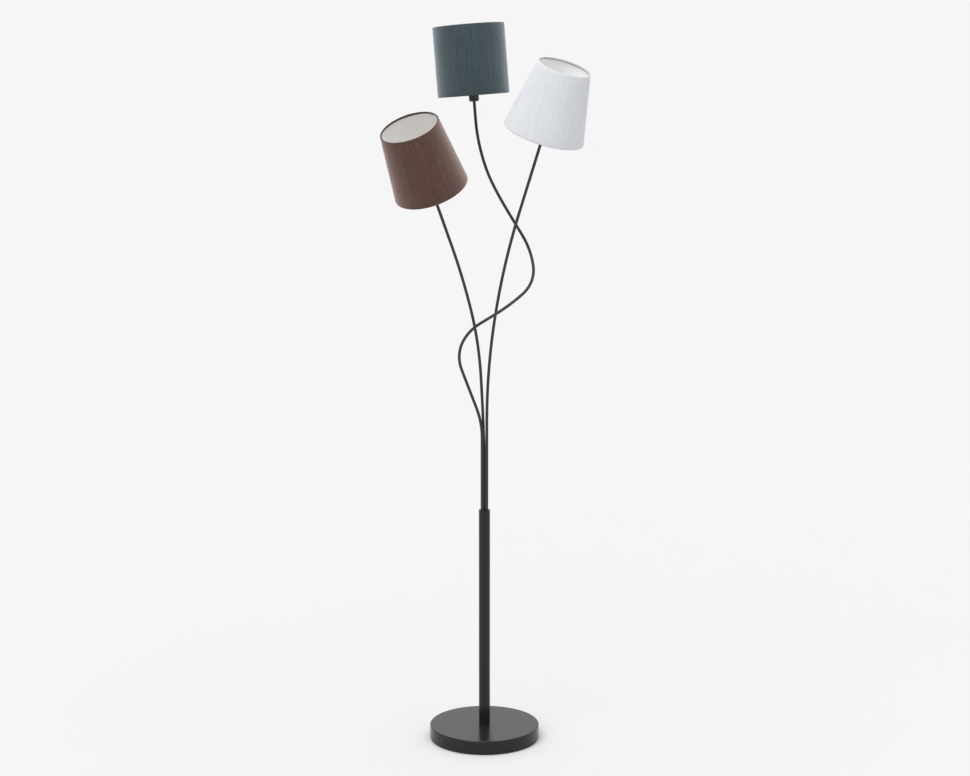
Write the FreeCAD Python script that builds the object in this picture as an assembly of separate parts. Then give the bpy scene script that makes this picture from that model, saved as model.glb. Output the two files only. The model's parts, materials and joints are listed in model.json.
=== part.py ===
"""Tree floor lamp: a round weighted base, a short straight pole and three bent tube arms, each
with a screw lampholder and a fabric shade.  Millimetres, +Z up, origin at the centre of the
base's underside, the front of the lamp towards -Y."""
import FreeCAD, Part
import math
import os

V = FreeCAD.Vector
UP = V(0, 0, 1)

# ---------------------------------------------------------------- driving dimensions
# fits
SLIP = 0.05                  # radial gap of pieces that are pressed, brazed or screwed together
RUN = 0.1                    # radial gap of a thread that is turned by hand
SEAT = 0.1                   # gap under a piece that can turn on its seat
HEM_GAP = 0.2                # between the fabric and what it is wrapped round

# base
BASE_DIAMETER = 245.0
BASE_HEIGHT = 32.0           # floor to the top of the cover
PAD_THICKNESS = 2.0
PAD_INSET = 5.5              # edge of the pad inside the edge of the cover
PLATE_THICKNESS = 1.0
COVER_WALL = 1.2
COVER_LIFT = 1.5             # gap between the floor and the edge of the cover
COVER_EDGE_RADIUS = 2.0
WEIGHT_GAP = 0.3             # radial gap between the weight and the cover
WEIGHT_RIM = 18.0            # radial width of the weight's thick rim
WIRING_HEIGHT = 17.0         # between the bottom plate and the weight's web above it
RIB_COUNT = 6
RIB_WIDTH = 8.0
RIB_START = 27.0             # radius at which the ribs begin
RIB_LIFT = 3.0               # gap between the ribs and the bottom plate
PLATE_SCREW_COUNT = 3
PLATE_SCREW_BEARING = 30.0   # of the first one, between two ribs
PLATE_SCREW_RADIUS = 2.0
PLATE_SCREW_HEAD_RADIUS = 3.4
PLATE_SCREW_LENGTH = 12.0

# pole and its foot
POLE_DIAMETER = 25.0
POLE_WALL = 1.5
POLE_TOP = 526.0             # floor to the top of the plug
BUSH_LENGTH = 25.0           # part of the foot bush inside the pole
BUSH_THREAD_DIAMETER = 20.0
BUSH_BORE_DIAMETER = 17.2
BUSH_HOLE_GAP = 0.2          # radial gap of the holes that the bush passes through
WASHER_DIAMETER = 36.0
WASHER_THICKNESS = 2.0
NUT_ACROSS_FLATS = 27.0
NUT_THICKNESS = 4.0
BUSH_PROUD = 0.5             # thread that shows below the nut

# plug in the pole's top
PLUG_FLANGE = 2.0
PLUG_DEPTH = 20.0
PLUG_EDGE = 0.6
PLUG_SCREW_DIAMETER = 4.0
PLUG_SCREW_DROP = 12.0       # below the pole's top
PLUG_SCREW_BEARING = 30.0    # degrees from +X, between two arms
PLUG_SCREW_TIP = 5.0         # distance of its tip from the pole's axis

# arms
ARM_DIAMETER = 6.5
ARM_WALL = 0.7
ARM_PITCH = 10.5             # between the centres of the three arms in the plug
ARM_SEAT = 46.0              # length of the arm below the pole's top
ARM_END_STRAIGHT = 20.0
LEAD_DIAMETER = 4.4
LEAD_TURN_RADIUS = 6.0
LEAD_DROP = 6.0              # bush end to the axis of the lead below it

# Each arm's bend corners, from the centre of the pole's top: (x, y, height).  The tube rises
# straight from the plug to the first height, and its last run points along the shade's axis.
ARM_BEARINGS = {"left": 90.0, "centre": 210.0, "right": 330.0}
ARM_FIRST_BEND = {"left": 157.0, "centre": 197.0, "right": 316.0}
ARM_CORNERS = {
    "left": [(-12, -10, 378), (-48, -62, 530), (-91, -124, 661), (-110, -149, 718)],
    "centre": [(-30, -4, 262), (-61, -15, 346), (-37, -37, 404), (55, -48, 462), (110, -36, 510),
               (101, -8, 578), (34, 10, 687), (5, 12, 744), (-16, 17, 818), (-23, 20, 907)],
    "right": [(41, -34, 551), (124, -107, 831)],
}

# shades: outside radius at the bottom and the top, and height along the axis
SHADE_SIZES = {
    "left": (80.0, 63.5, 150.0),
    "centre": (77.5, 77.5, 150.0),
    "right": (87.5, 56.5, 150.0),
}
FABRIC = 0.5                 # thickness of the fabric
LINER = 0.35                 # thickness of the stiff lining
HEM_HEIGHT = 5.5             # fabric folded in round each wire
SHADE_WIRE_DIAMETER = 3.0
SPOKE_COUNT = 3
SPOKE_BEARING = 90.0         # of the first one, from the shade's own X
SPOKE_DIAMETER = 2.6
SPOKE_GAP = 0.25             # round a spoke where it passes the hem and the lining
FITTER_HOLE_GAP = 0.3
FITTER_DIAMETER = 44.0
FITTER_THICKNESS = 1.2
SPOKE_OVERLAP = 1.2          # length of a spoke on the fitter ring

# lampholder, measured along the shade's axis from the plane of the shade's bottom edge
CUP_DIAMETER = 22.0
CUP_WALL = 1.0
CUP_DROP = 13.0              # bottom of the cup below the shade's edge
CUP_HEIGHT = 24.0
CUP_EDGE_RADIUS = 4.0
NIPPLE_DIAMETER = 10.0
NIPPLE_FLANGE_DIAMETER = 14.0
NIPPLE_FLANGE = 1.2
NIPPLE_OVER_ARM = 2.0        # nipple above the end of the arm
ARM_IN_NIPPLE = 11.0
HOLDER_STEP = 1.0            # holder base above the cup
HOLDER_FLOOR = 3.0           # thickness of the insulating floor under the contacts
CHAMBER_DIAMETER = 14.0      # wiring space in the holder base
SHOULDER_DIAMETER = 34.0
SHOULDER_THICKNESS = 2.0
SKIRT_THREAD_DIAMETER = 28.0
SKIRT_THREAD_DEPTH = 0.7
SKIRT_THREAD_PITCH = 2.0
SKIRT_THREAD_TURNS = 10
SKIRT_MOUTH_DIAMETER = 24.0
SHELL_LENGTH = 18.0
SHELL_WALL = 0.4
CONTACT_DIAMETER = 8.0
CONTACT_THICKNESS = 0.8
CONTACT_DOME = 2.2
RING_DIAMETER = 38.0
RING_HEIGHT = 8.0
RING_GRIP_COUNT = 16
RING_GRIP_RADIUS = 1.2

# bulb, a 14 mm screw cap and a 45 mm ball
CAP_DIAMETER = 13.9
CAP_THREAD_DEPTH = 0.7
CAP_THREAD_PITCH = 2.82
CAP_THREAD_TURNS = 5
CAP_TIP_DIAMETER = 5.0
CAP_TIP_HEIGHT = 2.0
CAP_COLLAR_DIAMETER = 15.6
CAP_COLLAR_HEIGHT = 8.0
CAP_WALL = 0.5
BULB_DIAMETER = 45.0
BULB_LENGTH = 78.0
BULB_NECK_DIAMETER = 14.4
BULB_NECK_SHARE = 0.675      # straight part of the glass between the collar and the ball
BULB_GLASS = 0.8

# wiring in the base and the cord's gland
BLOCK_LENGTH = 32.0          # along X
BLOCK_WIDTH = 20.0           # along Y
BLOCK_HEIGHT = 12.0
BLOCK_DISTANCE = 40.0        # pole's axis to the near face of the block
BLOCK_LIFT = 0.5             # above the bottom plate
BLOCK_BORE_GAP = 0.2
BLOCK_BORE_DEPTH = 4.0
TERMINAL_SCREW_DIAMETER = 3.0
TERMINAL_SCREW_LENGTH = 5.0
TERMINAL_SCREW_INSET = 3.5   # from the block's near and far faces
BOSS_DIAMETER = 12.0
BLOCK_SCREW_DIAMETER = 3.0
BLOCK_SCREW_HEAD_DIAMETER = 5.6
BLOCK_SCREW_HEAD = 1.8
BLOCK_SCREW_GRIP = 6.0       # length of the screw in the boss and the web
EARTH_SCREW_DIAMETER = 4.0
EARTH_SCREW_HEAD_DIAMETER = 8.0
EARTH_SCREW_HEAD = 2.6
EARTH_SCREW_GRIP = 7.0
EARTH_SCREW_PLACE = (24.0, 74.0)
GLAND_BORE_DIAMETER = 7.0
GLAND_BODY_DIAMETER = 10.0
GLAND_FLANGE_DIAMETER = 14.0
GLAND_FLANGE = 1.7
GLAND_DEPTH = 10.5           # into the cover and the weight
GLAND_HEIGHT = 14.0          # above the floor

# ---------------------------------------------------------------- sizes worked out from them
BASE_RADIUS = BASE_DIAMETER / 2
PLATE_BOTTOM = PAD_THICKNESS
PLATE_TOP = PLATE_BOTTOM + PLATE_THICKNESS
COVER_INSIDE = BASE_RADIUS - COVER_WALL
WEIGHT_RADIUS = COVER_INSIDE - WEIGHT_GAP
WEIGHT_TOP = BASE_HEIGHT - COVER_WALL
WEB_BOTTOM = PLATE_TOP + WIRING_HEIGHT
RIM_INSIDE = WEIGHT_RADIUS - WEIGHT_RIM
RIM_MIDDLE = WEIGHT_RADIUS - WEIGHT_RIM / 2
POLE_RADIUS = POLE_DIAMETER / 2
POLE_BORE = POLE_RADIUS - POLE_WALL
BUSH_THREAD = BUSH_THREAD_DIAMETER / 2
NUT_TOP = WEB_BOTTOM - WASHER_THICKNESS
NUT_BOTTOM = NUT_TOP - NUT_THICKNESS
BUSH_END = NUT_BOTTOM - BUSH_PROUD
LEAD_LEVEL = BUSH_END - LEAD_DROP
BLOCK_BOTTOM = PLATE_TOP + BLOCK_LIFT
BLOCK_TOP = BLOCK_BOTTOM + BLOCK_HEIGHT
ARM_RADIUS = ARM_DIAMETER / 2
ARM_CIRCLE = ARM_PITCH / math.sqrt(3)
SHADE_WIRE = SHADE_WIRE_DIAMETER / 2
HEM_INSIDE = SHADE_WIRE + HEM_GAP
HEM_OUTSIDE = HEM_INSIDE + FABRIC
LINER_FACE = FABRIC + HEM_GAP
ARM_END = -CUP_DROP + CUP_WALL + ARM_IN_NIPPLE
CUP_TOP = CUP_HEIGHT - CUP_DROP
HOLDER_TOP = CUP_TOP + HOLDER_STEP
SHOULDER_TOP = HOLDER_TOP + SHOULDER_THICKNESS
SKIRT_TOP = SHOULDER_TOP + SKIRT_THREAD_PITCH * (SKIRT_THREAD_TURNS + 0.5)
CONTACT_TOP = HOLDER_TOP + CONTACT_THICKNESS + CONTACT_DOME
BULB_TIP = CONTACT_TOP + SLIP
CAP_THREAD_START = BULB_TIP + CAP_TIP_HEIGHT
CAP_THREAD_END = CAP_THREAD_START + CAP_THREAD_PITCH * CAP_THREAD_TURNS
COLLAR_TOP = CAP_THREAD_END + CAP_COLLAR_HEIGHT
BULB_CENTRE = BULB_TIP + BULB_LENGTH - BULB_DIAMETER / 2
FITTER_BOTTOM = SHOULDER_TOP + SEAT
FITTER_TOP = FITTER_BOTTOM + FITTER_THICKNESS

SHAPES = {}


# ---------------------------------------------------------------- building helpers
def disc(radius, low, high, x=0.0, y=0.0):
    """Upright cylinder between two heights."""
    return Part.makeCylinder(radius, high - low, V(x, y, low), UP)


def ring(outside, inside, low, high):
    """Upright tube between two heights."""
    return disc(outside, low, high).cut(disc(inside, low, high))


def turned(outline):
    """Solid of revolution about Z of a closed outline of (radius, height) points."""
    points = [V(r, 0, z) for r, z in outline]
    face = Part.Face(Part.makePolygon(points + points[:1]))
    return face.revolve(V(0, 0, 0), UP, 360)


def turned_face(edges):
    """Solid of revolution about Z of a closed outline of edges in the XZ plane."""
    return Part.Face(Part.Wire(edges)).revolve(V(0, 0, 0), UP, 360)


def thread_outline(root, crest, low, pitch, turns):
    """Zigzag of (radius, height) points up the side of a screw thread."""
    points = []
    for turn in range(turns):
        start = low + turn * pitch
        points += [(root, start), (crest, start + pitch / 2)]
    return points + [(root, low + turns * pitch)]


def around(count, first=0.0):
    """Evenly spaced bearings in degrees."""
    return [first + 360.0 / count * step for step in range(count)]


def at_bearing(radius, bearing, height=0.0):
    angle = math.radians(bearing)
    return V(radius * math.cos(angle), radius * math.sin(angle), height)


def bend_radii(corners):
    """Largest radius at each inner corner: a bend takes half of a run it shares with another."""
    runs = [(b - a).Length for a, b in zip(corners, corners[1:])]
    radii = []
    for i in range(1, len(corners) - 1):
        before = runs[i - 1] / 2 if i > 1 else runs[0] - ARM_END_STRAIGHT
        after = runs[i] / 2 if i < len(corners) - 2 else runs[-1] - ARM_END_STRAIGHT
        turn = (corners[i] - corners[i - 1]).getAngle(corners[i + 1] - corners[i])
        radii.append(min(before, after) / math.tan(turn / 2))
    return radii


def bent_path(corners, radii):
    """Wire of straight runs joined by tangent arcs."""
    edges = []
    last = corners[0]
    for i, radius in enumerate(radii, start=1):
        before = (corners[i] - corners[i - 1]).normalize()
        after = (corners[i + 1] - corners[i]).normalize()
        turn = before.getAngle(after)
        start = corners[i] - before * (radius * math.tan(turn / 2))
        end = corners[i] + after * (radius * math.tan(turn / 2))
        inward = (after - before).normalize()
        middle = corners[i] + inward * (radius / math.cos(turn / 2) - radius)
        if (start - last).Length > 1e-6:
            edges.append(Part.LineSegment(last, start).toShape())
        edges.append(Part.Arc(start, middle, end).toShape())
        last = end
    edges.append(Part.LineSegment(last, corners[-1]).toShape())
    return Part.Wire(edges)


def rod(path, radius):
    """Round rod along a path, with its volume checked against section times length."""
    start = path.OrderedVertexes[0].Point
    heading = path.OrderedEdges[0].tangentAt(path.OrderedEdges[0].FirstParameter)
    section = Part.Wire(Part.makeCircle(radius, start, heading))
    body = path.makePipeShell([section], True, False)
    wanted = math.pi * radius ** 2 * path.Length
    if abs(body.Volume / wanted - 1) > 1e-3:
        raise ValueError("a bent rod came out with the wrong volume")
    return body


# ---------------------------------------------------------------- base
def base_pieces():
    SHAPES["base_pad"] = disc(BASE_RADIUS - PAD_INSET, 0, PAD_THICKNESS)

    plate = disc(WEIGHT_RADIUS, PLATE_BOTTOM, PLATE_TOP)
    screws = []
    weight = weight_casting()
    for bearing in around(PLATE_SCREW_COUNT, PLATE_SCREW_BEARING):
        place = at_bearing(RIM_MIDDLE, bearing, PLATE_BOTTOM)
        end = PLATE_SCREW_LENGTH + PLATE_BOTTOM
        head = Part.makeCone(PLATE_SCREW_HEAD_RADIUS, PLATE_SCREW_RADIUS, PLATE_THICKNESS, place)
        screws.append(head.fuse(disc(PLATE_SCREW_RADIUS, PLATE_TOP, end, place.x, place.y)))
        plate = plate.cut(Part.makeCone(PLATE_SCREW_HEAD_RADIUS + SLIP, PLATE_SCREW_RADIUS + SLIP,
                                        PLATE_THICKNESS, place))
        weight = weight.cut(disc(PLATE_SCREW_RADIUS + SLIP, PLATE_TOP, end + 1, place.x, place.y))
    SHAPES["bottom_plate"] = plate
    SHAPES["plate_screws"] = Part.makeCompound(screws)
    SHAPES["base_weight"] = weight

    cover = disc(BASE_RADIUS, COVER_LIFT, BASE_HEIGHT)
    top_edge = [e for e in cover.Edges if e.BoundBox.ZMin > BASE_HEIGHT - 0.01]
    cover = cover.makeFillet(COVER_EDGE_RADIUS, top_edge)
    cover = cover.cut(disc(COVER_INSIDE, 0, WEIGHT_TOP))
    cover = cover.cut(disc(BUSH_THREAD + BUSH_HOLE_GAP, 0, BASE_HEIGHT + 1))
    SHAPES["base_cover"] = cover.cut(gland_core(GLAND_BODY_DIAMETER / 2 + SLIP))


def gland_core(radius):
    """Cylinder along the cord's way through the rear of the base."""
    return Part.makeCylinder(radius, BASE_RADIUS, V(0, RIM_INSIDE - 5, GLAND_HEIGHT), V(0, 1, 0))


def weight_casting():
    """Iron disc with a thick rim, a web, ribs and a boss for the terminal block."""
    weight = disc(WEIGHT_RADIUS, PLATE_TOP, WEIGHT_TOP).cut(disc(RIM_INSIDE, 0, WEB_BOTTOM))
    for bearing in around(RIB_COUNT):
        rib = Part.makeBox(RIM_INSIDE + WEIGHT_RIM / 2 - RIB_START, RIB_WIDTH,
                           WEB_BOTTOM + 1 - PLATE_TOP - RIB_LIFT,
                           V(RIB_START, -RIB_WIDTH / 2, PLATE_TOP + RIB_LIFT))
        rib.rotate(V(0, 0, 0), UP, bearing)
        weight = weight.fuse(rib)
    block_centre = BLOCK_DISTANCE + BLOCK_WIDTH / 2
    weight = weight.fuse(disc(BOSS_DIAMETER / 2, BLOCK_TOP, WEB_BOTTOM + 1, 0, block_centre))
    weight = weight.cut(disc(BUSH_THREAD + BUSH_HOLE_GAP, 0, BASE_HEIGHT))
    weight = weight.cut(disc(BLOCK_SCREW_DIAMETER / 2 + SLIP, BLOCK_BOTTOM,
                             BLOCK_TOP + BLOCK_SCREW_GRIP + 1, 0, block_centre))
    x, y = EARTH_SCREW_PLACE
    weight = weight.cut(disc(EARTH_SCREW_DIAMETER / 2 + SLIP, WEB_BOTTOM - 1,
                             WEB_BOTTOM + EARTH_SCREW_GRIP + 1, x, y))
    return weight.cut(gland_core(GLAND_BODY_DIAMETER / 2 + SLIP)).removeSplitter()


def wiring_pieces():
    centre = BLOCK_DISTANCE + BLOCK_WIDTH / 2
    block = Part.makeBox(BLOCK_LENGTH, BLOCK_WIDTH, BLOCK_HEIGHT,
                         V(-BLOCK_LENGTH / 2, BLOCK_DISTANCE, BLOCK_BOTTOM))
    bore = LEAD_DIAMETER / 2 + BLOCK_BORE_GAP
    screws = []
    far_side = BLOCK_DISTANCE + BLOCK_WIDTH - BLOCK_BORE_DEPTH
    rows = (BLOCK_DISTANCE + TERMINAL_SCREW_INSET, BLOCK_DISTANCE + BLOCK_WIDTH - TERMINAL_SCREW_INSET)
    for bearing in ARM_BEARINGS.values():
        x = at_bearing(ARM_CIRCLE, bearing).x
        for side in (BLOCK_DISTANCE, far_side):
            block = block.cut(Part.makeCylinder(bore, BLOCK_BORE_DEPTH, V(x, side, LEAD_LEVEL), V(0, 1, 0)))
        for y in rows:
            low = BLOCK_TOP - TERMINAL_SCREW_LENGTH
            block = block.cut(disc(TERMINAL_SCREW_DIAMETER / 2 + SLIP, low, BLOCK_TOP, x, y))
            screws.append(disc(TERMINAL_SCREW_DIAMETER / 2, low, BLOCK_TOP, x, y))
    head_top = BLOCK_BOTTOM + BLOCK_SCREW_HEAD
    block = block.cut(disc(BLOCK_SCREW_HEAD_DIAMETER / 2 + SLIP, BLOCK_BOTTOM, head_top, 0, centre))
    block = block.cut(disc(BLOCK_SCREW_DIAMETER / 2 + SLIP, BLOCK_BOTTOM, BLOCK_TOP, 0, centre))
    SHAPES["terminal_block"] = block
    SHAPES["terminal_screws"] = Part.makeCompound(screws)
    shank = disc(BLOCK_SCREW_DIAMETER / 2, BLOCK_BOTTOM, BLOCK_TOP + BLOCK_SCREW_GRIP, 0, centre)
    head = disc(BLOCK_SCREW_HEAD_DIAMETER / 2, BLOCK_BOTTOM, head_top, 0, centre)
    SHAPES["block_screw"] = shank.fuse(head)
    x, y = EARTH_SCREW_PLACE
    shank = disc(EARTH_SCREW_DIAMETER / 2, WEB_BOTTOM, WEB_BOTTOM + EARTH_SCREW_GRIP, x, y)
    head = disc(EARTH_SCREW_HEAD_DIAMETER / 2, WEB_BOTTOM - EARTH_SCREW_HEAD, WEB_BOTTOM, x, y)
    SHAPES["earth_screw"] = shank.fuse(head)

    rear = V(0, 1, 0)
    inner_end = V(0, BASE_RADIUS - GLAND_DEPTH, GLAND_HEIGHT)
    body = Part.makeCylinder(GLAND_BODY_DIAMETER / 2, GLAND_DEPTH + GLAND_FLANGE / 2, inner_end, rear)
    flange = Part.makeCylinder(GLAND_FLANGE_DIAMETER / 2, GLAND_FLANGE + 1,
                               V(0, BASE_RADIUS - 1, GLAND_HEIGHT), rear)
    gland = body.fuse(flange.cut(disc(BASE_RADIUS, 0, BASE_HEIGHT)))
    SHAPES["cord_gland"] = gland.cut(gland_core(GLAND_BORE_DIAMETER / 2)).removeSplitter()


# ---------------------------------------------------------------- pole
def pole_pieces():
    tube_top = POLE_TOP - PLUG_FLANGE
    screw_low = at_bearing(PLUG_SCREW_TIP, PLUG_SCREW_BEARING, POLE_TOP - PLUG_SCREW_DROP)
    outward = at_bearing(1, PLUG_SCREW_BEARING)
    screw_length = POLE_RADIUS - SLIP - PLUG_SCREW_TIP
    screw_radius = PLUG_SCREW_DIAMETER / 2
    screw_hole = Part.makeCylinder(screw_radius + SLIP, screw_length + 2, screw_low, outward)
    pole = ring(POLE_RADIUS, POLE_BORE, BASE_HEIGHT, tube_top)
    SHAPES["pole_tube"] = pole.cut(screw_hole)

    flange = disc(POLE_RADIUS, tube_top, POLE_TOP)
    top_edge = [e for e in flange.Edges if e.BoundBox.ZMin > POLE_TOP - 0.01]
    plug = flange.makeFillet(PLUG_EDGE, top_edge).fuse(disc(POLE_BORE - SLIP, tube_top - PLUG_DEPTH, tube_top))
    for bearing in ARM_BEARINGS.values():
        place = at_bearing(ARM_CIRCLE, bearing)
        plug = plug.cut(disc(ARM_RADIUS + SLIP, tube_top - PLUG_DEPTH, POLE_TOP, place.x, place.y))
    SHAPES["pole_plug"] = plug.cut(screw_hole).removeSplitter()
    SHAPES["plug_screw"] = Part.makeCylinder(screw_radius, screw_length, screw_low, outward)

    bush = ring(POLE_BORE - SLIP, BUSH_BORE_DIAMETER / 2, BASE_HEIGHT, BASE_HEIGHT + BUSH_LENGTH)
    bush = bush.fuse(ring(BUSH_THREAD, BUSH_BORE_DIAMETER / 2, BUSH_END, BASE_HEIGHT))
    SHAPES["foot_bush"] = bush.removeSplitter()
    SHAPES["foot_washer"] = ring(WASHER_DIAMETER / 2, BUSH_THREAD + BUSH_HOLE_GAP, NUT_TOP, WEB_BOTTOM)
    corner = NUT_ACROSS_FLATS / 2 / math.cos(math.radians(30))
    corners = [at_bearing(corner, bearing, NUT_BOTTOM) for bearing in around(6)]
    nut = Part.Face(Part.makePolygon(corners + corners[:1])).extrude(V(0, 0, NUT_THICKNESS))
    SHAPES["foot_nut"] = nut.cut(disc(BUSH_THREAD + SLIP, NUT_BOTTOM, NUT_TOP))


# ---------------------------------------------------------------- arms
def arm_corners(side):
    """Corner points of an arm, from its lower end in the pole to its end in the lampholder."""
    foot = at_bearing(ARM_CIRCLE, ARM_BEARINGS[side])
    corners = [V(foot.x, foot.y, POLE_TOP - ARM_SEAT), V(foot.x, foot.y, POLE_TOP + ARM_FIRST_BEND[side])]
    return corners + [V(x, y, POLE_TOP + height) for x, y, height in ARM_CORNERS[side]]


def head_placement(side):
    """Places a piece drawn with the shade's bottom edge in the XY plane at the arm's end."""
    corners = arm_corners(side)
    axis = (corners[-1] - corners[-2]).normalize()
    return FreeCAD.Placement(corners[-1] - axis * ARM_END, FreeCAD.Rotation(UP, axis))


def arm_pieces(side):
    corners = arm_corners(side)
    radii = bend_radii(corners)
    path = bent_path(corners, radii)
    SHAPES[side + "_arm_tube"] = rod(path, ARM_RADIUS).cut(rod(path, ARM_RADIUS - ARM_WALL))
    print(side, "arm bends (mm):", [round(radius) for radius in radii])

    foot = corners[0]
    axis = (corners[-1] - corners[-2]).normalize()
    lead_start = V(foot.x, BLOCK_DISTANCE + BLOCK_BORE_DEPTH - SLIP, LEAD_LEVEL)
    lead_corners = [lead_start, V(foot.x, foot.y, LEAD_LEVEL)] + corners[1:-1]
    lead_corners.append(corners[-1] + axis * (NIPPLE_OVER_ARM + HOLDER_FLOOR))
    SHAPES[side + "_lead"] = rod(bent_path(lead_corners, [LEAD_TURN_RADIUS] + radii), LEAD_DIAMETER / 2)


# ---------------------------------------------------------------- lampholder and bulb
def holder_pieces():
    """The lampholder's pieces along +Z, by name."""
    floor = -CUP_DROP + CUP_WALL
    cup = disc(CUP_DIAMETER / 2, -CUP_DROP, CUP_TOP)
    low_edge = [e for e in cup.Edges if e.BoundBox.ZMax < 0.01 - CUP_DROP]
    cup = cup.makeFillet(CUP_EDGE_RADIUS, low_edge)
    hollow = disc(CUP_DIAMETER / 2 - CUP_WALL, floor, CUP_TOP)
    low_edge = [e for e in hollow.Edges if e.BoundBox.ZMax < 0.01 + floor]
    hollow = hollow.makeFillet(CUP_EDGE_RADIUS - CUP_WALL, low_edge)
    pieces = {"holder_cup": cup.cut(hollow).cut(disc(ARM_RADIUS + SLIP, -CUP_DROP, 0))}

    nipple_top = ARM_END + NIPPLE_OVER_ARM
    nipple = disc(NIPPLE_FLANGE_DIAMETER / 2, floor, floor + NIPPLE_FLANGE)
    nipple = nipple.fuse(disc(NIPPLE_DIAMETER / 2, floor, nipple_top))
    pieces["nipple"] = nipple.cut(disc(ARM_RADIUS + SLIP, floor, nipple_top))

    base_radius = CUP_DIAMETER / 2 - CUP_WALL - SLIP
    base_low = floor + CUP_EDGE_RADIUS
    base = disc(base_radius, base_low, HOLDER_TOP)
    base = base.cut(disc(NIPPLE_DIAMETER / 2 + SLIP, base_low, nipple_top + SLIP))
    pieces["holder_base"] = base.cut(disc(CHAMBER_DIAMETER / 2, nipple_top, HOLDER_TOP - HOLDER_FLOOR))

    contact = disc(CONTACT_DIAMETER / 2, HOLDER_TOP, HOLDER_TOP + CONTACT_THICKNESS)
    dome_low = HOLDER_TOP + CONTACT_THICKNESS
    dome = Part.makeCone(CONTACT_DIAMETER / 2 - 1, CAP_TIP_DIAMETER / 4, CONTACT_DOME, V(0, 0, dome_low))
    pieces["contact"] = contact.fuse(dome).removeSplitter()

    crest = CAP_DIAMETER / 2 + RUN
    shell_inside = thread_outline(crest, crest - CAP_THREAD_DEPTH, CAP_THREAD_START, CAP_THREAD_PITCH,
                                  CAP_THREAD_TURNS - 1)
    shell_outside = [(r + SHELL_WALL, z) for r, z in reversed(shell_inside)]
    shell_low, shell_top = HOLDER_TOP, HOLDER_TOP + SHELL_LENGTH
    pieces["holder_shell"] = turned([(crest, shell_low)] + shell_inside + [(crest, shell_top),
                                    (crest + SHELL_WALL, shell_top)] + shell_outside
                                    + [(crest + SHELL_WALL, shell_low)])

    root = SKIRT_THREAD_DIAMETER / 2 - SKIRT_THREAD_DEPTH
    shell_seat = crest + SHELL_WALL + SLIP
    mouth = SKIRT_MOUTH_DIAMETER / 2
    thread = thread_outline(root, SKIRT_THREAD_DIAMETER / 2, SHOULDER_TOP, SKIRT_THREAD_PITCH,
                            SKIRT_THREAD_TURNS)
    pieces["holder_skirt"] = turned([(shell_seat, HOLDER_TOP), (SHOULDER_DIAMETER / 2, HOLDER_TOP),
                                     (SHOULDER_DIAMETER / 2, SHOULDER_TOP)] + thread
                                    + [(root, SKIRT_TOP), (mouth, SKIRT_TOP), (mouth, shell_top + SLIP),
                                       (shell_seat, shell_top + SLIP)])

    ring_low = FITTER_TOP + SEAT
    shade_ring = ring(RING_DIAMETER / 2, SKIRT_THREAD_DIAMETER / 2 + RUN, ring_low, ring_low + RING_HEIGHT)
    for bearing in around(RING_GRIP_COUNT):
        place = at_bearing(RING_DIAMETER / 2 + RING_GRIP_RADIUS / 2, bearing)
        shade_ring = shade_ring.cut(disc(RING_GRIP_RADIUS, ring_low, ring_low + RING_HEIGHT, place.x, place.y))
    pieces["shade_ring"] = shade_ring
    return pieces


def bulb_pieces():
    """The bulb's pieces along +Z, by name."""
    crest = CAP_DIAMETER / 2
    root = crest - CAP_THREAD_DEPTH
    tip = CAP_TIP_DIAMETER / 2
    thread = thread_outline(root, crest, CAP_THREAD_START, CAP_THREAD_PITCH, CAP_THREAD_TURNS)
    # the thread's ridges lie between those of the holder's shell
    thread = [(r, z + CAP_THREAD_PITCH / 2) for r, z in thread[:-2]]
    collar = CAP_COLLAR_DIAMETER / 2
    inside = root - CAP_WALL
    cap_floor = CAP_THREAD_START + CAP_WALL
    cap = turned([(0, BULB_TIP), (tip, BULB_TIP), (tip, BULB_TIP + CAP_TIP_HEIGHT / 2),
                  (root - CAP_TIP_HEIGHT, CAP_THREAD_START), (root, CAP_THREAD_START)] + thread
                 + [(root, CAP_THREAD_END), (collar, CAP_THREAD_END + 1), (collar, COLLAR_TOP),
                    (collar - CAP_WALL, COLLAR_TOP), (collar - CAP_WALL, CAP_THREAD_END + 1),
                    (inside, CAP_THREAD_END), (inside, cap_floor), (0, cap_floor)])

    ball = BULB_DIAMETER / 2
    neck = min(BULB_NECK_DIAMETER / 2, collar - CAP_WALL - SLIP)
    neck_top = COLLAR_TOP + BULB_NECK_SHARE * (BULB_CENTRE - ball - COLLAR_TOP)
    glass_low = CAP_THREAD_END + 1 + SLIP
    return {"bulb_cap": cap,
            "bulb_glass": glass_ball(ball, neck, glass_low, neck_top).cut(
                glass_ball(ball - BULB_GLASS, neck - BULB_GLASS, glass_low - 1, neck_top))}


def glass_ball(ball, neck, low, neck_top):
    """Ball on a neck, with a cone between them that leaves the ball along its side."""
    drop = BULB_CENTRE - neck_top
    reach = math.hypot(drop, neck)
    # tangent from the neck's upper edge to the ball's outline
    lean = math.atan2(neck, drop) + math.acos(ball / reach)
    touch = (ball * math.sin(lean), BULB_CENTRE - ball * math.cos(lean))
    corners = [V(0, 0, low), V(neck, 0, low), V(neck, 0, neck_top), V(touch[0], 0, touch[1])]
    edges = [Part.LineSegment(a, b).toShape() for a, b in zip(corners, corners[1:])]
    top = V(0, 0, BULB_CENTRE + ball)
    middle_angle = (lean + math.pi) / 2
    middle = V(ball * math.sin(middle_angle), 0, BULB_CENTRE - ball * math.cos(middle_angle))
    edges.append(Part.Arc(corners[-1], middle, top).toShape())
    edges.append(Part.LineSegment(top, corners[0]).toShape())
    return turned_face(edges)


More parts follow.
